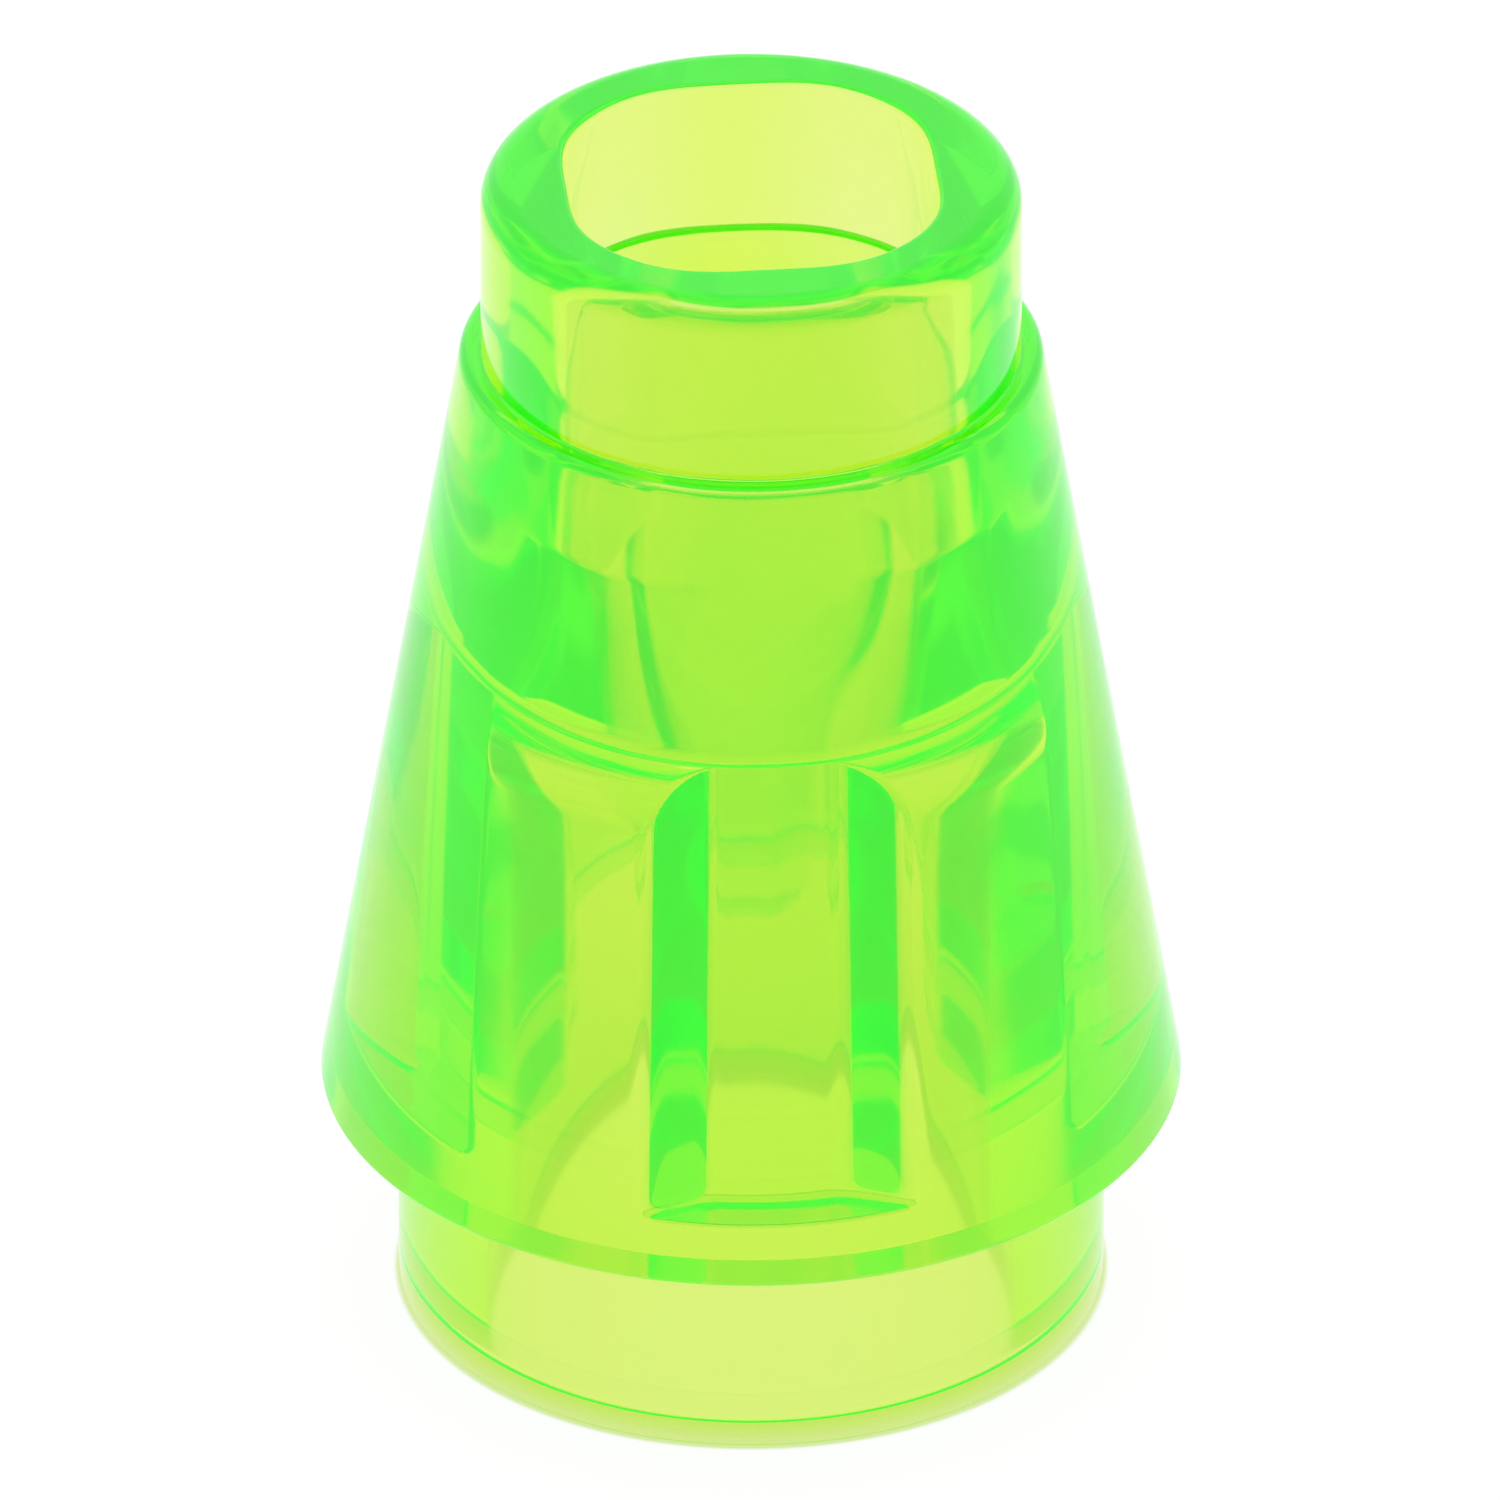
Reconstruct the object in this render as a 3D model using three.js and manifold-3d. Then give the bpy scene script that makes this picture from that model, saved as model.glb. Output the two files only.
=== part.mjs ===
// Toy building-brick cone, one stud wide, moulded in one piece of clear green plastic.
// Millimetres, +Z up. The origin is on the cone's axis, in the plane that the base ring stands on.

import * as THREE from 'three';
import { mergeVertices } from 'three/addons/utils/BufferGeometryUtils.js';
import Module from 'manifold-3d';

// Outside, from the bottom up
const ringDiameter = 6.4;
const ringHeight = 2.1;
const skirtDiameter = 7.8;
const shoulderDiameter = 5.2;
const bodyHeight = 9.6;
const studDiameter = 4.84;
const studHeight = 1.75;

// Inside: the socket takes the stud of the brick below
const socketDiameter = 4.8;
const socketDepth = 6.5;

// The bore runs from the socket's roof up through the stud. Four flats on its wall grip a bar.
// Between the flats it is round, and widest partway up
const boreFootDiameter = 3.5;
const boreWaistDiameter = 3.9;
const boreWaistHeight = 8.3;
const boreRimDiameter = 3.6;
const flatFootGap = 3.44;
const flatRimGap = 3.26;

// Four ribs stand inside the socket, one on each side, and stop the stud that is pushed in
const ribCount = 4;
const ribFootWidth = 2.06;
const ribFaceWidth = 0.92;
const ribGap = 3.68;
const ribRoot = 0.2;

// Rounded edges
const studEdge = 0.28;
const shoulderEdge = 0.12;
const skirtEdge = 0.06;
const ringEdge = 0.06;
const roofRound = 0.55;

// How finely round surfaces are divided
const turnSteps = 72;
const arcSteps = 3;

// Cuts run this far past the face that they open
const cutThrough = 0.5;

const totalHeight = bodyHeight + studHeight;

const wasm = await Module();
wasm.setup();

function toSolid(geometry) {
  const bare = geometry.clone();
  bare.deleteAttribute('normal');
  bare.deleteAttribute('uv');
  const merged = mergeVertices(bare, 1e-5);
  const vertProperties = new Float32Array(merged.attributes.position.array);
  const triVerts = new Uint32Array(merged.index.array);
  return new wasm.Manifold(new wasm.Mesh({ numProp: 3, vertProperties, triVerts }));
}

function toGeometry(solid) {
  const mesh = solid.getMesh();
  const geometry = new THREE.BufferGeometry();
  geometry.setAttribute('position', new THREE.BufferAttribute(mesh.vertProperties, 3));
  geometry.setIndex(new THREE.BufferAttribute(mesh.triVerts, 1));
  geometry.computeVertexNormals();
  return geometry;
}

// Adds one corner to an outline: sharp, or rounded by an arc that touches both of its sides.
function addCorner(outline, before, corner, after) {
  if (corner.round === 0) {
    outline.lineTo(corner.x, corner.y);
    return;
  }
  const point = new THREE.Vector2(corner.x, corner.y);
  const back = new THREE.Vector2(before.x, before.y).sub(point).normalize();
  const ahead = new THREE.Vector2(after.x, after.y).sub(point).normalize();
  const halfAngle = Math.acos(back.dot(ahead)) / 2;
  const middle = back.clone().add(ahead).normalize();
  const centre = point.clone().addScaledVector(middle, corner.round / Math.sin(halfAngle));
  const reach = corner.round / Math.tan(halfAngle);
  const start = point.clone().addScaledVector(back, reach).sub(centre);
  const end = point.clone().addScaledVector(ahead, reach).sub(centre);
  const clockwise = start.cross(end) < 0;
  outline.absarc(centre.x, centre.y, corner.round, start.angle(), end.angle(), clockwise);
}

// A closed outline. Each corner is [x, y] or [x, y, radius of its rounding].
function makeOutline(points) {
  const corners = points.map(([x, y, round = 0]) => ({ x, y, round }));
  const outline = new THREE.Shape();
  outline.moveTo(corners[0].x, corners[0].y);
  corners.forEach((corner, index) => {
    const before = corners.at(index - 1);
    const after = corners[(index + 1) % corners.length];
    addCorner(outline, before, corner, after);
  });
  outline.closePath();
  return outline;
}

// Turns an outline about the Z axis: its x is the radius and its y is the height.
function turned(points) {
  const geometry = new THREE.LatheGeometry(makeOutline(points).getPoints(arcSteps), turnSteps);
  return toSolid(geometry.rotateX(Math.PI / 2));
}

function cylinder(diameter, bottom, top) {
  const geometry = new THREE.CylinderGeometry(diameter / 2, diameter / 2, top - bottom, turnSteps);
  geometry.rotateX(Math.PI / 2);
  return toSolid(geometry.translate(0, 0, (bottom + top) / 2));
}

function makeOutside() {
  return turned([
    [0, 0],
    [ringDiameter / 2, 0, ringEdge],
    [ringDiameter / 2, ringHeight],
    [skirtDiameter / 2, ringHeight, skirtEdge],
    [shoulderDiameter / 2, bodyHeight, shoulderEdge],
    [studDiameter / 2, bodyHeight],
    [studDiameter / 2, totalHeight, studEdge],
    [0, totalHeight],
  ]);
}

function makeSocket() {
  return turned([
    [0, -cutThrough],
    [socketDiameter / 2, -cutThrough],
    [socketDiameter / 2, socketDepth, roofRound],
    [0, socketDepth],
  ]);
}

// The square between the bore's flats, a little narrower at the rim so that the mould's core draws out.
function makeFlats(bottom, top) {
  const corner = Math.SQRT2 / 2;
  const geometry = new THREE.CylinderGeometry(flatRimGap * corner, flatFootGap * corner, top - bottom, 4);
  geometry.rotateY(Math.PI / 4);
  geometry.rotateX(Math.PI / 2);
  return toSolid(geometry.translate(0, 0, (bottom + top) / 2));
}

function makeBore() {
  const bottom = socketDepth - cutThrough;
  const top = totalHeight + cutThrough;
  const round = turned([
    [0, bottom],
    [boreFootDiameter / 2, bottom],
    [boreFootDiameter / 2, socketDepth],
    [boreWaistDiameter / 2, boreWaistHeight],
    [boreRimDiameter / 2, totalHeight],
    [boreRimDiameter / 2, top],
    [0, top],
  ]);
  return round.intersect(makeFlats(bottom, top));
}

// One rib: its face is flat and its sides slope down to the socket's wall. Its root runs into the wall.
function makeRib(angle) {
  const face = ribFaceWidth / 2;
  const foot = ribFootWidth / 2;
  const wall = Math.sqrt((socketDiameter / 2) ** 2 - foot ** 2);
  const root = socketDiameter / 2 + ribRoot;
  const outline = makeOutline([
    [-foot, root],
    [-foot, wall],
    [-face, ribGap / 2],
    [face, ribGap / 2],
    [foot, wall],
    [foot, root],
  ]);
  const depth = socketDepth - ringHeight;
  const geometry = new THREE.ExtrudeGeometry(outline, { depth, bevelEnabled: false });
  geometry.translate(0, 0, ringHeight);
  return toSolid(geometry.rotateZ(angle));
}

// All the ribs, their roots trimmed a little way inside the socket's wall.
function makeRibs() {
  let ribs = makeRib(0);
  for (let index = 1; index < ribCount; index += 1) {
    ribs = ribs.add(makeRib((index * 2 * Math.PI) / ribCount));
  }
  return ribs.intersect(cylinder(socketDiameter + ribRoot, ringHeight, socketDepth));
}

function makeCone() {
  return makeOutside().subtract(makeSocket()).subtract(makeBore()).add(makeRibs());
}

const solid = makeCone();
const clearGreen = new THREE.MeshStandardMaterial({ color: 0x9cf23c, roughness: 0.12, metalness: 0 });
const coneMesh = new THREE.Mesh(toGeometry(solid), clearGreen);
coneMesh.name = 'cone_body';

const cone = new THREE.Group();
cone.add(coneMesh);

export default cone;
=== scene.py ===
import math

import bmesh
import bpy
import numpy as np
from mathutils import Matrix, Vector


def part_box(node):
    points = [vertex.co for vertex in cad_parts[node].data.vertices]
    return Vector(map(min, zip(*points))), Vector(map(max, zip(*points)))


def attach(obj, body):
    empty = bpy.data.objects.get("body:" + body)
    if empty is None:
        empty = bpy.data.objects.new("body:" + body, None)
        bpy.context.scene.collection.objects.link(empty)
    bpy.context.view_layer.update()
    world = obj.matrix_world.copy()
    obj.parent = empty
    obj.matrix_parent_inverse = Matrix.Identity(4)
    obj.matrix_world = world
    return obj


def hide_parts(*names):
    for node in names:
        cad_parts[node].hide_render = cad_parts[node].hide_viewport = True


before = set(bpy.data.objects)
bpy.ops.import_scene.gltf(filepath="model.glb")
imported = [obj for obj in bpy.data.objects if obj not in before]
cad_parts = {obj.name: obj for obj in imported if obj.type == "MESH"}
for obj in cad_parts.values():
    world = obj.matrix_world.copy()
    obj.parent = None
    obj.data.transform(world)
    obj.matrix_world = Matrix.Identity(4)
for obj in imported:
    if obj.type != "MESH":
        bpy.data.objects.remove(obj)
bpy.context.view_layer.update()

coneLow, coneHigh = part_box("cone_body")
coneCentre = (coneLow + coneHigh) / 2
mm = 0.001


def linear(hexColour):
    # sRGB hex to the linear values that the shaders take
    parts = [int(hexColour[i:i + 2], 16) / 255 for i in (1, 3, 5)]
    return [c / 12.92 if c <= 0.04045 else ((c + 0.055) / 1.055) ** 2.4 for c in parts]


def addNode(tree, kind, settings=None, inputs=None, links=None):
    # one node with its settings and socket values, and its links as {input: (node, output)}
    node = tree.nodes.new(kind)
    for name, value in (settings or {}).items():
        setattr(node, name, value)
    for name, value in (inputs or {}).items():
        node.inputs[name].default_value = value
    for name, (source, output) in (links or {}).items():
        tree.links.new(source.outputs[output], node.inputs[name])
    return node


def emptyMaterial(name):
    material = bpy.data.materials.new(name)
    material.use_nodes = True
    material.node_tree.nodes.clear()
    return material


def placeMesh(name, points, faces, smooth):
    mesh = bpy.data.meshes.new(name)
    mesh.from_pydata([tuple(p) for p in points], [], faces)
    mesh.polygons.foreach_set("use_smooth", [smooth] * len(mesh.polygons))
    mesh.update()
    thing = bpy.data.objects.new(name, mesh)
    bpy.context.scene.collection.objects.link(thing)
    return thing


# The cone's sizes in millimetres, as on the moulding.
# The overall height isn't among them, because the frame's box gives it.
coneSizes = {
    "ringDiameter": 6.4,
    "ringHeight": 2.1,
    "skirtDiameter": 7.8,
    "shoulderDiameter": 5.2,
    "bodyHeight": 9.6,
    "studDiameter": 4.84,
    "socketDiameter": 4.8,
    "socketDepth": 6.5,
    "boreFootDiameter": 3.5,
    "boreWaistDiameter": 3.9,
    "boreWaistHeight": 8.3,
    "boreRimDiameter": 3.6,
    "flatFootGap": 3.44,
    "flatRimGap": 3.26,
    "ribFootWidth": 2.06,
    "ribFaceWidth": 0.92,
    "ribGap": 3.68,
    "ringEdge": 0.06,
    "creaseRound": 0.03,
    "skirtEdge": 0.06,
    "shoulderEdge": 0.12,
    "studEdge": 0.28,
    "rimEdge": 0.06,
    "boreFootEdge": 0.08,
    "roofRound": 0.55,
    "roofRibBlend": 0.02,
    "ribFootEdge": 0.1,
    "ribFootFall": 0.004,  # the ribs' undersides fall this much to the wall, so that no two rings coincide
    "ribSideRound": 0.05,
    "flatSideRound": 0.25,
    "rimSideRound": 0.45,
}
coneColumns = 512  # points round each ring of the mesh
arcSteps = 8  # steps along each rounded edge outside
straightStep = 0.6  # mm between rings on a straight stretch outside
quarterTurn = math.pi / 2


def roundCorner(before, corner, after, radius, steps):
    # points along the arc that rounds one corner of a profile
    before, corner, after = (np.array(p, float) for p in (before, corner, after))
    toBefore, toAfter = before - corner, after - corner
    u = toBefore / np.linalg.norm(toBefore)
    v = toAfter / np.linalg.norm(toAfter)
    halfAngle = math.acos(float(u @ v)) / 2
    centre = corner + (u + v) / np.linalg.norm(u + v) * (radius / math.sin(halfAngle))
    reach = radius / math.tan(halfAngle)
    start, end = corner + u * reach - centre, corner + v * reach - centre
    first, last = math.atan2(start[1], start[0]), math.atan2(end[1], end[0])
    sweep = (last - first + math.pi) % (2 * math.pi) - math.pi
    turns = [first + sweep * k / steps for k in range(steps + 1)]
    return [(centre[0] + radius * math.cos(t), centre[1] + radius * math.sin(t)) for t in turns]


def between(start, end, shares):
    # points of a straight stretch, each a share of the way along it
    return [(start[0] + (end[0] - start[0]) * t, start[1] + (end[1] - start[1]) * t) for t in shares]


def evenShares(count, ends=0.02):
    # shares spread evenly, with one near each end so that the shading turns only at the corners
    return [ends] + [k / count for k in range(1, count)] + [1 - ends]


def quarterArc(steps):
    return [quarterTurn * k / steps for k in range(steps + 1)]


def softMin(a, b, width):
    # the smaller of two, blended where they are nearly equal
    h = np.clip(0.5 + 0.5 * (b - a) / width, 0, 1)
    return b * (1 - h) + a * h - width * h * (1 - h)


def blurRound(radii, width, about):
    # rounds the corners of a section by averaging along its girth
    reach = max(1, round(width * len(radii) / (math.pi * about)))
    kernel = np.ones(2 * reach + 1) / (2 * reach + 1)
    for _ in range(2):
        wrapped = np.concatenate([radii[-reach:], radii, radii[:reach]])
        radii = np.convolve(wrapped, kernel, "valid")
    return radii


def fromFlat(angles):
    # angle from the middle of the nearest of the four sides
    return (angles + quarterTurn / 2) % quarterTurn - quarterTurn / 2


def boreSection(s, angles, diameter, flatGap, sideRound):
    # a circle cut by four flats
    radii = np.minimum(diameter / 2, flatGap / 2 / np.cos(fromFlat(angles)))
    return blurRound(radii, sideRound, s["socketDiameter"])


def ribSection(s, angles):
    # the socket's circle with four ribs standing in from it, each with a curved face and two sloping sides
    turn = np.abs(fromFlat(angles))
    wall, gap = s["socketDiameter"] / 2, s["ribGap"] / 2
    foot = np.array((s["ribFootWidth"] / 2, 0.0))
    face = np.array((s["ribFaceWidth"] / 2, 0.0))
    foot[1] = math.sqrt(wall**2 - foot[0] ** 2)
    face[1] = math.sqrt(gap**2 - face[0] ** 2)
    run = foot - face
    across = np.minimum(np.sin(turn) * run[1] - np.cos(turn) * run[0], -1e-6)
    side = (face[0] * run[1] - face[1] * run[0]) / across
    radii = np.where(turn < math.atan2(*foot), side, wall)
    radii = np.where(turn < math.atan2(*face), gap, radii)
    return blurRound(radii, s["ribSideRound"], s["socketDiameter"])


def outsideRings(s, height):
    # the outer profile, from the ring's inner edge underneath to the stud's top
    corners = [
        (s["socketDiameter"] / 2, s["ringHeight"], 0),
        (s["socketDiameter"] / 2, 0, s["ringEdge"]),
        (s["ringDiameter"] / 2, 0, s["ringEdge"]),
        (s["ringDiameter"] / 2, s["ringHeight"], s["creaseRound"]),
        (s["skirtDiameter"] / 2, s["ringHeight"], s["skirtEdge"]),
        (s["shoulderDiameter"] / 2, s["bodyHeight"], s["shoulderEdge"]),
        (s["studDiameter"] / 2, s["bodyHeight"], s["creaseRound"]),
        (s["studDiameter"] / 2, height, s["studEdge"]),
        (s["boreRimDiameter"] / 2, height, 0),
    ]
    rings = []
    for before, corner, after in zip(corners, corners[1:], corners[2:]):
        arc = roundCorner(before[:2], corner[:2], after[:2], corner[2], arcSteps)
        if rings:
            gap = math.dist(rings[-1], arc[0])
            rings += between(rings[-1], arc[0], evenShares(max(2, int(gap / straightStep))))
        rings += arc
    return rings


def insideRings(s, angles, height, rimStart):
    # the inner skin, from the stud's top down through the bore and the socket to the ring's foot
    wall, rimEdge = s["socketDiameter"] / 2, s["rimEdge"]
    rim = boreSection(s, angles, s["boreRimDiameter"], s["flatRimGap"], s["rimSideRound"])
    rise = (s["boreWaistHeight"] - s["socketDepth"]) / (height - s["socketDepth"])
    waistGap = s["flatFootGap"] + (s["flatRimGap"] - s["flatFootGap"]) * rise
    waist = boreSection(s, angles, s["boreWaistDiameter"], waistGap, s["flatSideRound"])
    foot = boreSection(s, angles, s["boreFootDiameter"], s["flatFootGap"], s["flatSideRound"])
    ribbed = ribSection(s, angles)

    rings = between((rimStart, height), (rim + rimEdge, height), (0.03, 0.5, 0.97))
    for turn in quarterArc(5):
        rings.append((rim + rimEdge * (1 - math.sin(turn)), height - rimEdge * (1 - math.cos(turn))))
    rings += between((rim, height - rimEdge), (waist, s["boreWaistHeight"]), evenShares(10) + [1])

    roof, edge = s["socketDepth"], s["boreFootEdge"]
    rings += between((waist, s["boreWaistHeight"]), (foot, roof + edge), evenShares(10) + [1])
    for turn in quarterArc(6)[1:]:
        rings.append((foot + edge * (1 - math.cos(turn)), roof + edge * (1 - math.sin(turn))))
    lip = foot + edge

    arch, blend = s["roofRound"], s["roofRibBlend"]
    for share in (0.05, 0.35, 0.65, 0.95):
        radii = lip + (np.maximum(wall - arch, lip) - lip) * share
        rings.append((softMin(radii, np.maximum(ribbed, lip), blend), roof))
    for turn in quarterArc(16):
        radii = np.maximum(wall - arch * (1 - math.sin(turn)), lip)
        rings.append((softMin(radii, ribbed, blend), roof - arch * (1 - math.cos(turn))))

    wallSkin = np.minimum(wall, ribbed)
    ribFoot, ribEdge = s["ringHeight"], s["ribFootEdge"]
    rings += between((wallSkin, roof - arch), (wallSkin, ribFoot + ribEdge), evenShares(13)[1:])
    for turn in quarterArc(4):
        radii = np.minimum(wall, ribbed + ribEdge * (1 - math.cos(turn)))
        rings.append((radii, ribFoot + ribEdge * (1 - math.sin(turn))))
    under = np.minimum(wall, ribbed + ribEdge)
    fall = s["ribFootFall"]
    rings += between((under, ribFoot), (wall, ribFoot - fall), (0.1, 0.5, 0.9, 1))
    rings += between((wall, ribFoot - fall), (wall, s["ringEdge"]), evenShares(3))
    return rings


def buildCone():
    s = coneSizes
    height = (coneHigh.z - coneLow.z) / mm
    angles = 2 * math.pi * np.arange(coneColumns) / coneColumns
    outside = outsideRings(s, height)
    rings = outside + insideRings(s, angles, height, outside[-1][0])
    radii = np.array([np.broadcast_to(r, angles.shape) for r, _ in rings])
    levels = np.array([np.broadcast_to(z, angles.shape) for _, z in rings])
    radii = radii * ((coneHigh.x - coneLow.x) / 2 / mm / radii.max())  # as wide as the frame's box
    x = coneCentre.x + radii * np.cos(angles) * mm
    y = coneCentre.y + radii * np.sin(angles) * mm
    z = coneLow.z + levels * mm
    points = np.stack([x, y, z], -1).reshape(-1, 3)

    here = np.arange(radii.size).reshape(radii.shape)
    nextRing, nextColumn = np.roll(here, -1, 0), np.roll(here, -1, 1)
    faces = np.stack([here, nextColumn, np.roll(nextRing, -1, 1), nextRing], -1).reshape(-1, 4)
    cone = placeMesh("cone_shell", points, faces.tolist(), True)
    work = bmesh.new()
    work.from_mesh(cone.data)
    bmesh.ops.remove_doubles(work, verts=work.verts, dist=0.0005 * mm)
    bmesh.ops.recalc_face_normals(work, faces=work.faces)
    work.to_mesh(cone.data)
    work.free()
    return cone


# Clear polycarbonate, injection moulded, with a fluorescent yellow-green dye all through it.
# The dye takes out blue at once and red slowly, so a thin wall looks lime and a long path deep green.
# It gives some of the light back as green. Here that glow is painted on the surface as a faint, even
# emission, standing in for the dye's real fluorescence whatever the lamps do, and it keeps the thick parts
# from looking dark.
plasticLook = {
    "ior": 1.57,
    "roughness": (0.045, 0.09),
    "surface": "#FAF0F7",  # what each face lets through
    "tint": "#EDFF21",
    "absorption": 2.0,  # per mm
    # painted glow: colour and strength of an even emission on the surface, in place of the dye's
    # fluorescence
    "paintedGlowColour": "#00FF00",
    "paintedGlow": 0.018,
    "waveSize": 0.9,  # mm, and so are the next two
    "waveHeight": 0.0012,
    "handlingSize": 1.6,
    "handlingRange": (0.35, 0.7),  # noise value where the polish is best, and where it is dullest
}


def clearPlastic():
    look = plasticLook
    material = emptyMaterial("clear_fluorescent_polycarbonate")
    tree = material.node_tree
    place = addNode(tree, "ShaderNodeTexCoord")
    # flow of the melt: a faint unevenness left on the polished surface
    flow = addNode(tree, "ShaderNodeTexNoise", inputs={
        "Scale": 1 / (look["waveSize"] * mm),
        "Detail": 2.0,
        "Roughness": 0.45,
    }, links={"Vector": (place, "Object")})
    wave = addNode(tree, "ShaderNodeBump", inputs={
        "Strength": 1.0,
        "Distance": look["waveHeight"] * mm,
    }, links={"Height": (flow, "Fac")})
    # handling: the polish is a little duller in patches
    handling = addNode(tree, "ShaderNodeTexNoise", inputs={
        "Scale": 1 / (look["handlingSize"] * mm),
        "Detail": 6.0,
        "Roughness": 0.6,
    }, links={"Vector": (place, "Object")})
    polish = addNode(tree, "ShaderNodeMapRange", inputs={
        "From Min": look["handlingRange"][0],
        "From Max": look["handlingRange"][1],
        "To Min": look["roughness"][0],
        "To Max": look["roughness"][1],
    }, links={"Value": (handling, "Fac")})
    shell = addNode(tree, "ShaderNodeBsdfPrincipled", inputs={
        "Base Color": (*linear(look["surface"]), 1),
        "IOR": look["ior"],
        "Transmission Weight": 1.0,
        # painted glow: an even green emission on the surface, partly the dye's real fluorescence, partly
        # painted light
        "Emission Color": (*linear(look["paintedGlowColour"]), 1),
        "Emission Strength": look["paintedGlow"],
    }, links={"Roughness": (polish, "Result"), "Normal": (wave, "Normal")})
    dye = addNode(tree, "ShaderNodeVolumeAbsorption", inputs={
        "Color": (*linear(look["tint"]), 1),
        "Density": look["absorption"] / mm,
    })
    addNode(tree, "ShaderNodeOutputMaterial", links={"Surface": (shell, 0), "Volume": (dye, 0)})
    return material


cone = buildCone()
cone.data.materials.append(clearPlastic())
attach(cone, "root")
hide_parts("cone_body")
print("cone built:", len(cone.data.polygons), "faces")

# Floor: opal acrylic sheet, cast matt and lit from beneath, so that it is evenly white, apart from a
# painted shadow where the foot ring stands
floorLook = {
    "halfSize": 0.6,  # metres
    "colour": "#626262",
    "roughness": 0.85,
    "light": 0.9,
    # painted shadow: the dimmed, green-tinted floor light under the foot ring, and the width of its soft
    # edge
    "paintedShadeColour": "#D6EAA0",
    "paintedShadeBlur": 0.05,  # mm
}


def buildFloor():
    reach = floorLook["halfSize"]
    corners = [(-reach, -reach), (reach, -reach), (reach, reach), (-reach, reach)]
    points = [(coneCentre.x + x, coneCentre.y + y, coneLow.z) for x, y in corners]
    floor = placeMesh("floor", points, [(0, 1, 2, 3)], False)
    material = emptyMaterial("opal_acrylic")
    tree = material.node_tree
    # painted shadow: where the moulding's foot ring stands, the floor's light is dimmed and tinted green,
    # as if only light that came through the plastic were left
    place = addNode(tree, "ShaderNodeNewGeometry")
    foot = (coneCentre.x, coneCentre.y, coneLow.z)
    fromAxis = addNode(tree, "ShaderNodeVectorMath", {"operation": "SUBTRACT"}, {1: foot},
                       {0: (place, "Position")})
    radius = addNode(tree, "ShaderNodeVectorMath", {"operation": "LENGTH"}, links={0: (fromAxis, "Vector")})
    outer, inner = coneSizes["ringDiameter"] / 2, coneSizes["socketDiameter"] / 2
    aside = addNode(tree, "ShaderNodeMath", {"operation": "SUBTRACT"}, {1: (outer + inner) / 2 * mm},
                    {0: (radius, "Value")})
    away = addNode(tree, "ShaderNodeMath", {"operation": "ABSOLUTE"}, links={0: (aside, "Value")})
    paintedShadeMask = addNode(tree, "ShaderNodeMapRange", inputs={
        "From Min": (outer - inner) / 2 * mm,
        "From Max": ((outer - inner) / 2 + floorLook["paintedShadeBlur"]) * mm,
        "To Min": 1.0,
        "To Max": 0.0,
    }, links={"Value": (away, "Value")})
    # the floor's light: white, with the painted shadow colour under the ring
    light = addNode(tree, "ShaderNodeMix", {"data_type": "RGBA"}, links={"Factor": (paintedShadeMask, "Result")})
    light.inputs["A"].default_value = (1, 1, 1, 1)
    light.inputs["B"].default_value = (*linear(floorLook["paintedShadeColour"]), 1)
    sheet = addNode(tree, "ShaderNodeBsdfPrincipled", inputs={
        "Base Color": (*linear(floorLook["colour"]), 1),
        "Roughness": floorLook["roughness"],
        "Emission Strength": floorLook["light"],
    }, links={"Emission Color": (light, "Result")})
    addNode(tree, "ShaderNodeOutputMaterial", links={"Surface": (sheet, 0)})
    floor.data.materials.append(material)
    return floor


buildFloor()
print("floor built")

# Light: a white tent all round
studio = {"colour": "#FFFFFF", "strength": 1.0}


def buildLight():
    world = bpy.data.worlds.new("studio")
    world.use_nodes = True
    tent = world.node_tree.nodes["Background"]
    tent.inputs["Color"].default_value = (*linear(studio["colour"]), 1)
    tent.inputs["Strength"].default_value = studio["strength"]
    bpy.context.scene.world = world


buildLight()
print("light built")

# Camera: a long lens about 30 degrees above the floor, nearly facing one rib
lens = {
    "elevation": 30.55,  # degrees
    "turn": 5.5,  # degrees
    "distance": 324.0,  # mm
    "aimHeight": 5.4023,  # mm
    "sensor": 36.0,  # mm
    "length": 864.0,  # mm
    "shiftX": -0.0008,
}


def buildCamera():
    data = bpy.data.cameras.new("camera")
    camera = bpy.data.objects.new("camera", data)
    bpy.context.scene.collection.objects.link(camera)
    rise, turn = math.radians(lens["elevation"]), math.radians(lens["turn"])
    level = math.cos(rise)
    away = Vector((-math.sin(turn) * level, -math.cos(turn) * level, math.sin(rise)))
    aim = Vector((coneCentre.x, coneCentre.y, coneLow.z + lens["aimHeight"] * mm))
    camera.location = aim + away * lens["distance"] * mm
    camera.rotation_mode = "QUATERNION"
    camera.rotation_quaternion = (-away).to_track_quat("-Z", "Y")
    data.sensor_width = lens["sensor"]
    data.lens = lens["length"]
    data.shift_x = lens["shiftX"]
    data.clip_start = 0.01
    data.clip_end = 10
    data.dof.use_dof = False
    bpy.context.scene.camera = camera


def setPaths():
    # light passes many walls inside the clear moulding
    scene = bpy.context.scene
    scene.view_settings.view_transform = "Standard"
    scene.cycles.max_bounces = 24
    scene.cycles.transmission_bounces = 24
    scene.cycles.glossy_bounces = 24
    scene.cycles.transparent_max_bounces = 16


buildCamera()
setPaths()
print("camera built")
